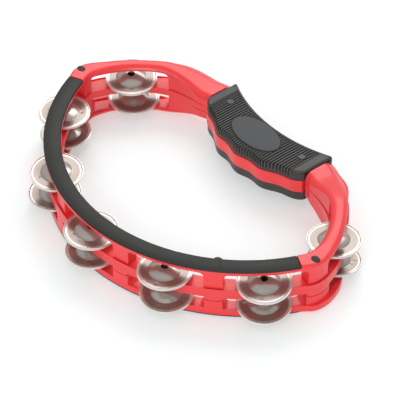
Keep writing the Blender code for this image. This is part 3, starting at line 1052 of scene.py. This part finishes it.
def oval_button(
    at: tuple[float, float], half: tuple[float, float], inset: Array, heights: Array, segments: int, lower: bool
) -> Surface:
    """An oval inlay: ellipses about a place, each drawn in by its inset and set at its height.

    Args:
        at: X and y of its middle.
        half: The ellipse's half axes.
        inset: How far each ring is drawn in.
        heights: Each ring's height.
        segments: Steps round each ring.
        lower: Whether it is the underside's, which is the mirror of the upper one.

    Returns:
        The closed button.
    """
    angle = np.linspace(0, 2 * np.pi, segments, endpoint=False)[None, :]
    x = at[0] + (half[0] - inset[:, None]) * np.cos(angle)
    y = at[1] + (half[1] - inset[:, None]) * np.sin(angle)
    z = heights[:, None] + 0 * x
    return swept(np.stack([x, y, HEIGHT - z if lower else z], -1))


# ---- Grip ----


@dataclass
class Grip:
    """The grip: a red core between two ribbed covers, with finger hollows along its inner side."""

    half_length: float = 64.6
    outer_mid: float = 101.8
    outer_end: float = 116.2
    inner_mid: float = 61.4
    inner_end: float = 82.1
    top: float = 42.9
    middle: float = 26.5
    core_half: float = 6.2
    core_inset: float = 0.7
    cover_inset: float = 1.0
    gap: float = 0.3
    finger_pitch: float = 29.5
    finger_depth: float = 1.2
    edge: float = 2.4
    end_edge: float = 2.6
    rib_pitch: float = 2.7
    rib_depth: float = 1.0
    plain_shade: float = 0.5
    plain_end: float = 10.0
    skirt: float = 3.2
    badge_half: tuple[float, float] = (27.5, 15.5)
    badge_y: float = 84.0
    badge_proud: float = 0.35
    badge_edge: float = 0.7
    badge_dome: float = 0.25
    badge_depth: float = 1.6
    bed_depth: float = 1.0
    screw_at: tuple[float, float] = (47.7, 94.8)
    screw_radius: float = 3.6
    screw_edge: float = 0.7
    screw_head: float = 2.0
    screw_foot: float = 28.0
    screw_sunk: float = 0.15
    seat_depth: float = 1.2
    crown: float = 0.35
    rib_steps: int = 8
    rib_rise: tuple[float, float] = (0.08, 0.5)
    outer_fade: tuple[float, float] = (3.2, 1.6)

    def _arc(self, x: Array, middle: float, end: float) -> Array:
        """An arc over a chord: it passes the middle value at x = 0 and the end value at the grip's ends.

        Args:
            x: Places along the grip.
            middle: The value at x = 0.
            end: The value at both ends.

        Returns:
            The arc's y.
        """
        rise = end - middle
        radius = (self.half_length**2 + rise**2) / (2 * abs(rise))
        return middle + math.copysign(1, rise) * (radius - np.sqrt(radius**2 - x**2))

    def inner(self, x: Array) -> Array:
        """Y of the inner edge, with its four finger hollows.

        Args:
            x: Places along the grip.

        Returns:
            The edge's y.
        """
        fade = share(np.abs(x), self.half_length + 2, self.half_length - 6)
        wave = -self.finger_depth * fade * np.cos(2 * np.pi * x / self.finger_pitch)
        return self._arc(x, self.inner_mid, self.inner_end) + wave

    def outer(self, x: Array) -> Array:
        """Y of the outer edge."""
        return self._arc(x, self.outer_mid, self.outer_end)

    def core_surface(self) -> Surface:
        """The red core: an upright band of the grip's outline, drawn in, with small rounded edges.

        Returns:
            The closed core.
        """
        half = self.half_length - self.core_inset
        x = np.linspace(-half, half, 160)[:, None]
        r = 0.6
        a = np.radians(np.linspace(0, 90, 4))
        inset = np.concatenate([r * (1 - np.sin(a)), r * (1 - np.sin(a[::-1]))])
        z = np.concatenate([-self.core_half + r * (1 - np.cos(a)), self.core_half - r * (1 - np.cos(a[::-1]))])
        near = self.inner(x) + inset
        far = self.outer(x) - self.core_inset - inset[::-1]
        y = np.concatenate([near, far], 1)
        height = self.middle + np.concatenate([z, z[::-1]])[None, :] + 0 * y
        return swept(np.stack([x + 0 * y, y, height], -1))

    def cover_surface(self, lower: bool) -> Surface:
        """A cover: sections across the grip, carried along it.

        Each section goes up the inner side, round the inner edge, across the top, round the outer
        edge and down. The ribs are a rounded wave along the grip that lowers the surface along its
        normal; they fade at the plain ends, the skirt, the badge and the screws.

        Args:
            lower: Whether it is the underside's cover, which is the mirror of the upper one.

        Returns:
            The closed cover, with its "groove" values of painted shade.
        """
        low = self.middle + self.core_half + self.gap
        count = int(2 * self.half_length / self.rib_pitch * self.rib_steps)
        x = np.linspace(-self.half_length, self.half_length, count)
        ends = np.clip((np.abs(x) - (self.half_length - self.end_edge)) / self.end_edge, 0, 1)
        pull = self.end_edge * (1 - np.sqrt(np.clip(1 - ends**2, 0, 1)))
        r = self.edge
        a = np.radians(np.linspace(0, 90, 8))
        side_z = np.linspace(low, self.top - r, 9)[:-1]
        across = np.linspace(0, 1, 44)[1:-1]
        inner, outer = self.inner(x) + self.cover_inset + 0.3 * pull, self.outer(x) - pull
        columns = []  # (y, z, normal y, normal z) along the section
        for z in side_z:
            columns.append((inner, z + 0 * x, -1.0, 0.0))
        for angle in a:
            out, up = 1 - math.cos(angle), math.sin(angle)
            columns.append((inner + r * out, self.top - r * (1 - up) + 0 * x, -math.cos(angle), math.sin(angle)))
        for t in across:
            crown = self.crown * (1 - (2 * t - 1) ** 2)
            columns.append((mix(inner + r, outer - r, t), self.top + crown - self.crown + 0 * x, 0.0, 1.0))
        for angle in a[::-1]:
            out, up = 1 - math.cos(angle), math.sin(angle)
            columns.append((outer - r * out, self.top - r * (1 - up) + 0 * x, math.cos(angle), math.sin(angle)))
        for z in side_z[::-1]:
            columns.append((outer, z + 0 * x, 1.0, 0.0))
        y, z = (np.stack([c[k] for c in columns], -1) for k in (0, 1))
        ny, nz = (np.array([c[k] for c in columns])[None, :] for k in (2, 3))
        z = z - np.where(nz > 0, pull[:, None] * 0.8, 0.0) * ease((z - low) / 6)
        xx = x[:, None] + 0 * y
        depth, groove = self._relief(xx, y, z, low)
        if lower:
            groove = np.where(nz > 0.9, groove, self.plain_shade)
            depth = np.where(nz > 0.9, depth, 0.0)
        y, z = y - ny * depth, z - nz * depth
        if lower:
            z = 2 * self.middle - z
        return swept(np.stack([xx, y, z], -1), {"groove": groove})

    def _relief(self, x: Array, y: Array, z: Array, low: float) -> tuple[Array, Array]:
        """How far each point lies below the plain surface, for the ribs, the badge's bed and the screws' seats, and its
        painted shade: 0 on a rib, left lighter as a painted highlight, 1 in a groove, and in between where it is plain.

        Args:
            x: The points' x.
            y: Their y.
            z: Their z, on the upper cover.
            low: The height at which the cover starts.

        Returns:
            The depths, then the shades.
        """
        wave = 0.5 - 0.5 * np.cos(2 * np.pi * x / self.rib_pitch)
        plain = 1 - share(np.abs(x), self.half_length - self.plain_end, self.half_length - self.plain_end + 0.8)
        above = share(z, low + self.skirt - 0.4, low + self.skirt + 0.4)
        from_badge = np.hypot(x / self.badge_half[0], (y - self.badge_y) / self.badge_half[1])
        on_top = z > self.top - 1.2
        bed = np.where(on_top, 1 - share(from_badge, 1.0, 1.035), 0.0)
        from_screw = np.hypot(np.abs(x) - self.screw_at[0], y - self.screw_at[1])
        seat = np.where(on_top, 1 - share(from_screw, self.screw_radius + 0.2, self.screw_radius + 0.7), 0.0)
        far, (fade_from, fade_to) = self.outer(x), self.outer_fade
        groove = share(wave, *self.rib_rise) * plain * above * (1 - share(y, far - fade_from, far - fade_to))
        ribbed = plain * above * (1 - bed) * (1 - seat)
        depth = mix(mix(self.rib_depth * groove, self.bed_depth, bed), self.seat_depth, seat)
        return depth, mix(self.plain_shade, groove, ribbed)

    def badge_surface(self, lower: bool) -> Surface:
        """A plain oval inlay: rings of an ellipse drawn in by a quarter circle, over a low dome.

        Args:
            lower: Whether it is the underside's.

        Returns:
            The closed badge.
        """
        a = np.radians(np.linspace(0, 90, 6))
        r, across = self.badge_edge, np.linspace(2.0, 14.8, 9)
        inset = np.concatenate([[0.0], r * (1 - np.cos(a)), across])
        dome = self.badge_dome * (1 - (1 - across / self.badge_half[1]) ** 2)
        rise = np.concatenate([[-self.badge_depth], -r + r * np.sin(a), dome])
        heights = self.top + self.badge_proud + rise
        return oval_button((0.0, self.badge_y), self.badge_half, inset, heights, 128, lower)

    def screw_surface(self, side: int, lower: bool) -> Surface:
        """A pan head with a low dome and a short shank, turned about its own axis.

        Args:
            side: -1 for the left end, 1 for the right one.
            lower: Whether it is the underside's.

        Returns:
            The closed screw.
        """
        head, r = self.screw_radius, self.screw_edge
        a = np.radians(np.linspace(0, 90, 5))
        radii = np.concatenate([[0, 1.5, 1.5, head], head - r * (1 - np.cos(a)), [2.2, 1.2, 0]])
        dome = self.top - self.screw_sunk
        shank = [self.screw_foot] * 2 + [dome - self.screw_head] * 2
        cap = [dome + 0.1, dome + 0.16, dome + 0.16]
        heights = np.concatenate([shank, dome - r * (1 - np.sin(a)), cap])
        surface = lathed(radii, heights, 40)
        surface.points[:, 0] += side * self.screw_at[0]
        surface.points[:, 1] += self.screw_at[1]
        if lower:
            surface.points[:, 2] = 2 * self.middle - surface.points[:, 2]
        return surface.facing_out()


# ---- Bumper and plugs ----


@dataclass
class Bumper:
    """A rubber strip in the rail's step along the striking arc."""

    form: FrameForm
    half: float = 7.5
    bed: float = 50.95
    top: float = HEIGHT
    edge: float = 1.6
    crown: float = 0.8
    nub_at: float = 42.3
    nub_half: float = 3.4
    nub_reach: float = 2.1
    nub_rise: float = 0.35
    join_from_nub: float = 2.4
    join_width: float = 0.35
    join_depth: float = 0.3
    end_run: float = 1.0
    end_pull: float = 0.7

    def surface(self, lower: bool) -> Surface:
        """A low crowned section carried along the arc, with a nub on its inner edge and a join there.

        The nub is a rounded bump, sqrt(1 - t^2), and the join a narrow dip in the crown.

        Args:
            lower: Whether it is the underside's strip.

        Returns:
            The closed strip.
        """
        form = self.form
        reach = form.plan.on_strike(form.bumper_end) - 0.3
        s = np.linspace(-reach, reach, 420)
        nub_s = form.plan.on_strike(self.nub_at)
        s = np.sort(np.concatenate([s, nub_s + np.linspace(-4, 4, 41)]))[:, None]
        end = np.clip((np.abs(s) - (reach - self.end_run)) / self.end_run, 0, 1)
        pull = self.end_pull * (1 - np.sqrt(np.clip(1 - end**2, 0, 1)))
        a = np.radians(np.linspace(0, 90, 7))
        t = np.linspace(-1, 1, 13)[1:-1]
        flat = self.half - self.edge
        right, left = flat + self.edge * np.cos(a), -flat - self.edge * np.cos(a[::-1])
        outs = np.concatenate([[self.half], right, -t * flat, left, [-self.half]])
        shoulder = self.top - self.crown - self.edge * (1 - np.sin(a))
        ups = np.concatenate([[self.bed], shoulder, self.top - self.crown * t**2, shoulder[::-1], [self.bed]])
        bump = self.nub_reach * np.sqrt(np.clip(1 - ((s - nub_s) / self.nub_half) ** 2, 0, 1))
        inner = share(-outs[None, :], flat - 1.5, self.half)
        offset = outs[None, :] - bump * inner * (0 if lower else 1)
        offset = np.sign(offset) * (np.abs(offset) - pull)
        join = np.exp(-(((s - nub_s - self.join_from_nub) / self.join_width) ** 2)) * (0 if lower else 1)
        lifted = share(ups, self.bed + 0.3, self.top)
        z = ups[None, :] - (pull * 1.2 + self.join_depth * join) * lifted + 0 * offset
        z = z + self.nub_rise * bump / self.nub_reach * inner * lifted
        x, y = form.plan.point(s + 0 * offset, offset)
        if lower:
            z = form.height - z
        return swept(np.stack([x, y, z], -1))


@dataclass
class Plug:
    """The oval rubber plug over a corner's bolt."""

    at: tuple[float, float] = (157.2, 14.0)
    half: tuple[float, float] = (4.3, 3.3)
    top: float = 53.3
    depth: float = 3.5
    edge: float = 0.5

    def surface(self, side: int, lower: bool) -> Surface:
        """Ellipses drawn in by a quarter circle at the top edge, over a low dome.

        Args:
            side: -1 for the left corner, 1 for the right one.
            lower: Whether it is the underside's.

        Returns:
            The closed plug.
        """
        a = np.radians(np.linspace(0, 90, 6))
        r = self.edge
        inset = np.concatenate([[0.0], r * (1 - np.cos(a)), [0.9, 1.3, 1.8, 2.4, 3.0]])
        rise = np.concatenate([[-self.depth], -r + r * np.sin(a), [0.05, 0.1, 0.14, 0.17, 0.2]])
        return oval_button((side * self.at[0], self.at[1]), self.half, inset, self.top + rise, 64, lower)


# ---- Jingles ----


@dataclass
class Jingle:
    """One pressed jingle: a flat rim round a low dome with a hole, and a rolled edge."""

    radius: float = 23.0
    hole: float = 3.1
    dome: float = 13.6
    height: float = 4.6
    sheet: float = 0.7
    steps: int = 112
    dents: int = 7
    dent_places: tuple[float, float] = (7, 20)
    dent_depths: tuple[float, float] = (0.1, 0.3)
    dent_sizes: tuple[float, float] = (0.9, 1.7)

    def profile(self) -> tuple[Array, Array]:
        """The closed section: the dome falls as 1 - t^1.7 from the hole out, with a soft foot, then the
        flat rim, the rolled edge and the underside, one sheet's thickness below.

        Returns:
            The section's radii, then its heights.
        """
        r = np.concatenate([
            np.linspace(self.hole, self.dome - 0.6, 12),
            np.linspace(self.dome - 0.3, self.dome + 1.2, 5),
            np.linspace(self.dome + 2.0, self.radius - 1.6, 6),
        ])
        rise = self.height - self.sheet
        z = rise * np.clip(1 - ((r - self.hole) / (self.dome - self.hole)) ** 1.7, 0, None)
        z = np.where(r > self.dome + 0.9, -0.12 * share(r, self.dome + 0.9, self.dome + 3), z)
        z = np.convolve(np.pad(z, 1, "edge"), [0.2, 0.6, 0.2], "valid") + self.sheet
        edge_r = self.radius - np.array([1.3, 0.95, 0.55, 0.18, 0.0, 0.1, 0.4, 0.8, 1.3])
        edge_z = self.sheet + np.array([0.12, 0.32, 0.4, 0.22, -0.15, -0.5, -0.7, -0.7, -0.7])
        lip_r = np.array([self.hole + 0.25, self.hole])
        lip_z = np.array([self.height - self.sheet + 0.05, self.height - 0.25])
        under = r[1:-1][::-1]
        return (
            np.concatenate([[self.hole + 0.15], r[1:], edge_r, under, lip_r]),
            np.concatenate([[self.height], z[1:], edge_z, z[1:-1][::-1] - self.sheet, lip_z]),
        )

    def surface(self, dome_up: bool, rng: np.random.Generator) -> Surface:
        """The turned section with a few dents: each lowers the sheet by a bell, exp(-d^2 / size^2).

        Args:
            dome_up: Whether the dome points up.
            rng: The seeded source of the dents' places.

        Returns:
            The closed jingle.
        """
        radii, heights = self.profile()
        surface = lathed(radii, heights, self.steps)
        p = surface.points
        for _ in range(self.dents):
            angle, reach = rng.uniform(0, 2 * np.pi), rng.uniform(*self.dent_places)
            d2 = (p[:, 0] - reach * np.sin(angle)) ** 2 + (p[:, 1] - reach * np.cos(angle)) ** 2
            p[:, 2] -= rng.uniform(*self.dent_depths) * np.exp(-d2 / rng.uniform(*self.dent_sizes) ** 2)
        if not dome_up:
            p[:, 2] = self.height - p[:, 2]
        return surface.facing_out()


@dataclass
class Lean:
    """How a pair of jingles lies: its tilt in degrees, the way in which it tilts down, and its shift."""

    tilt: float
    towards: float
    shift: tuple[float, float]


@dataclass
class JingleStation:
    """A pin and its two pairs of jingles."""

    number: int
    at: tuple[float, float]
    leans: dict[str, Lean]
    floors: tuple[tuple[str, float], ...] = (("lower", 6.9), ("upper", 29.9))
    gap: float = 0.3
    pin_radius: float = 1.3
    pin_ends: tuple[float, float] = (3.8, 49.2)
    pin_edge: float = 0.3

    def _placed(self, surface: Surface, lean: Lean, rest: float, pivot: float) -> Surface:
        """Tilts a surface about a pivot height on the pin, turns it to its way and shifts it.

        Args:
            surface: The jingle, about its own axis.
            lean: How it lies.
            rest: The height of its lowest point, if it lay flat.
            pivot: The height about which it tilts.

        Returns:
            The same surface, in its place.
        """
        turn = Matrix.Rotation(math.radians(lean.towards), 3, "Z")
        tilt = turn @ Matrix.Rotation(math.radians(lean.tilt), 3, "X") @ turn.inverted()
        points = surface.points + np.array([0, 0, rest - pivot])
        points = points @ np.array(tilt).T
        surface.points = points + np.array([self.at[0] + lean.shift[0], self.at[1] + lean.shift[1], pivot])
        return surface

    def build(self, rng: np.random.Generator) -> None:
        """Makes the pin and the four jingles, each on its own body.

        Args:
            rng: The seeded source of the jingles' dents.
        """
        jingle = Jingle()
        r, edge, (low, high) = self.pin_radius, self.pin_edge, self.pin_ends
        radii = np.array([0, r - edge, r, r, r - edge, 0])
        heights = np.array([low, low, low + edge, high - edge, high, high])
        pin = lathed(radii, heights, 32)
        pin.points[:, :2] += self.at
        put(f"steel_pin_{self.number}", pin, PIN_STEEL, f"pin_{self.number}", (f"pin_{self.number}",))
        for row, floor in self.floors:
            rest = floor + self.gap
            pivot = rest + jingle.height
            for which, dome_up, z in (("base", False, rest), ("cap", True, pivot + self.gap)):
                node = f"jingle_{self.number}_{row}_{which}"
                surface = self._placed(jingle.surface(dome_up, rng), self.leans[row], z, pivot)
                put(f"plate_{self.number}_{row}_{which}", surface, NICKEL, node, (node,))


# ---- Stage ----


@dataclass(frozen=True)
class Studio:
    """The camera, the lights and the floor."""

    target: tuple[float, float, float] = (-1.33, 22.71, 0.0)
    azimuth: float = 51.56
    elevation: float = 42.46
    distance: float = 1772.2
    roll: float = -0.74
    lens: float = 185.0
    sensor: float = 36.0
    see_to: float = 20.0  # the camera's furthest distance, m
    floor_reach: float = 6.0  # m
    floor_colour: str = "#D0D8D8"
    floor_glow: float = 0.36
    sky: float = 0.62
    # Each softbox's name, place and size in metres, and power in watts
    softboxes: tuple[tuple, ...] = (
        ("key", (-0.7, 1.0, 1.35), (1.6, 1.3), 17.0),
        ("front", (1.2, -1.6, 1.3), (1.2, 1.2), 22.0),
    )

    def camera(self) -> None:
        """Looks at the target from the azimuth and elevation, turned by the roll about its own axis."""
        a, e, roll = (math.radians(v) for v in (self.azimuth, self.elevation, self.roll))
        back = Vector((math.sin(a) * math.cos(e), -math.cos(a) * math.cos(e), math.sin(e)))
        right = Vector((math.cos(a), math.sin(a), 0.0))
        up = back.cross(right)
        turned_right = right * math.cos(roll) + up * math.sin(roll)
        turned_up = up * math.cos(roll) - right * math.sin(roll)
        place = (Vector(self.target) + back * self.distance) * MM
        data = bpy.data.cameras.new("view")
        data.lens, data.sensor_width = self.lens, self.sensor
        data.clip_end = self.see_to
        camera = bpy.data.objects.new("view", data)
        camera.matrix_world = Matrix((
            (turned_right.x, turned_up.x, back.x, place.x),
            (turned_right.y, turned_up.y, back.y, place.y),
            (turned_right.z, turned_up.z, back.z, place.z),
            (0, 0, 0, 1),
        ))
        bpy.context.scene.collection.objects.link(camera)
        bpy.context.scene.camera = camera

    def softbox(self, name: str, place: tuple[float, float, float], size: tuple[float, float], power: float) -> None:
        """A soft area light in metres and watts that faces the object.

        Args:
            name: The lamp's name.
            place: Its middle.
            size: Its width and height.
            power: Its power.
        """
        data = bpy.data.lights.new(name, "AREA")
        data.shape = "RECTANGLE"
        data.size, data.size_y = size
        data.energy = power
        lamp = bpy.data.objects.new(name, data)
        lamp.location = place
        lamp.rotation_euler = (-Vector(place)).to_track_quat("-Z", "Y").to_euler()
        bpy.context.scene.collection.objects.link(lamp)

    def floor(self) -> None:
        """A wide pale floor, lit from below as a light table is, which keeps the shadows soft and grey."""
        mesh = bpy.data.meshes.new("floor")
        reach = self.floor_reach
        corners = [(-reach, -reach, 0), (reach, -reach, 0), (reach, reach, 0), (-reach, reach, 0)]
        mesh.from_pydata(corners, [], [(0, 1, 2, 3)])
        material = bpy.data.materials.new("pale_floor")
        material.use_nodes = True
        shader = material.node_tree.nodes["Principled BSDF"]
        shader.inputs["Base Color"].default_value = linear(self.floor_colour)
        shader.inputs["Emission Color"].default_value = linear("#FFFFFF")
        shader.inputs["Emission Strength"].default_value = self.floor_glow
        shader.inputs["Roughness"].default_value = 0.9
        shader.inputs["Specular IOR Level"].default_value = 0.1
        mesh.materials.append(material)
        floor = bpy.data.objects.new("floor", mesh)
        bpy.context.scene.collection.objects.link(floor)

    def world(self) -> None:
        """Even white light from all round."""
        world = bpy.data.worlds.new("studio")
        world.use_nodes = True
        background = world.node_tree.nodes["Background"]
        background.inputs["Color"].default_value = (1.0, 1.0, 1.0, 1.0)
        background.inputs["Strength"].default_value = self.sky
        bpy.context.scene.world = world

    def build(self) -> None:
        """Sets up the whole stage."""
        self.camera()
        self.floor()
        self.world()
        for softbox in self.softboxes:
            self.softbox(*softbox)
        bpy.context.scene.view_settings.view_transform = "Standard"


# ---- The whole ----

DENT_SEED = 7
# Each pin's place, then how its lower and its upper pair of jingles lie
STATIONS = (
    ((-137.386, 54.282), Lean(1.5, 51.6, (1.3, 0.8)), Lean(5.3, 51.6, (0.3, -0.4))),
    ((-135.98, -21.66), Lean(3.0, -55.5, (0.2, 0.4)), Lean(1.2, 140, (-0.4, 0.5))),
    ((-76.83, -74.22), Lean(1.4, 51.6, (-0.8, -1.2)), Lean(3.5, 51.6, (0.6, 1.1))),
    ((0.0, -93.2), Lean(1.6, 330, (-0.5, 0.4)), Lean(1.2, 100, (0.4, -0.3))),
    ((76.83, -74.22), Lean(7.0, 27.75, (0.5, -0.9)), Lean(1.2, 0, (-1.1, -1.4))),
    ((135.98, -21.66), Lean(7.0, 55.5, (1.2, -0.9)), Lean(6.5, 55.5, (1.2, -0.9))),
    ((137.386, 54.282), Lean(7.5, 200.6, (-1.5, 0.2)), Lean(4.0, 231.5, (-1.1, -1.4))),
)


def build_tambourine() -> None:
    """Makes every visible piece, sub-assembly by sub-assembly."""
    form = FrameForm(FramePlan())
    grip = Grip()
    bumper, plug = Bumper(form), Plug()
    put("shell_upper", Shell(form, False).surface(), RED_ABS, "frame", ("upper_shell",))
    centre = CentreRing(form)
    lower_shell = Shell(form, True).surface().joined(LowerEdge(form, centre).surface())
    put("shell_lower", lower_shell, RED_ABS, "frame", ("lower_shell",))
    ring = centre.surface().joined(grip.core_surface())
    put("ring_and_grip_core", ring, RED_ABS, "frame", ("centre_ring",))
    for level, lower in (("upper", False), ("lower", True)):
        put(f"bumper_strip_{level}", bumper.surface(lower), BUMPER_RUBBER, "frame", (f"{level}_bumper",))
        put(f"ribbed_cover_{level}", grip.cover_surface(lower), GRIP_RUBBER, "frame", (f"{level}_grip_cover",))
        put(f"oval_badge_{level}", grip.badge_surface(lower), BADGE_RUBBER, "frame", (f"{level}_grip_badge",))
        for side_name, side in (("left", -1), ("right", 1)):
            name = f"{level}_grip_screw_{side_name}"
            put(f"screw_{level}_{side_name}", grip.screw_surface(side, lower), BLACK_STEEL, "frame", (name,))
            name = f"{level}_plug_{side_name}"
            put(f"oval_plug_{level}_{side_name}", plug.surface(side, lower), BUMPER_RUBBER, "frame", (name,))
    rng = np.random.default_rng(DENT_SEED)
    for number, (at, lower_pair, upper_pair) in enumerate(STATIONS, 1):
        JingleStation(number, at, {"lower": lower_pair, "upper": upper_pair}).build(rng)


def dress_hidden_fasteners(nodes: dict[str, bpy.types.Object]) -> None:
    """Gives the corner bolts and nuts, which keep their CAD shape, their zinc finish.

    Args:
        nodes: The CAD nodes by name.
    """
    for name, node in nodes.items():
        if name.startswith("corner_"):
            node.data.materials.clear()
            node.data.materials.append(ZINC.material())


def main() -> None:
    """Builds the looks round the frame and sets up the stage."""
    logging.basicConfig(level=logging.INFO, format="%(message)s")
    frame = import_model()
    build_tambourine()
    dress_hidden_fasteners(frame["nodes"])
    Studio().build()


if __name__ == "__main__":
    main()
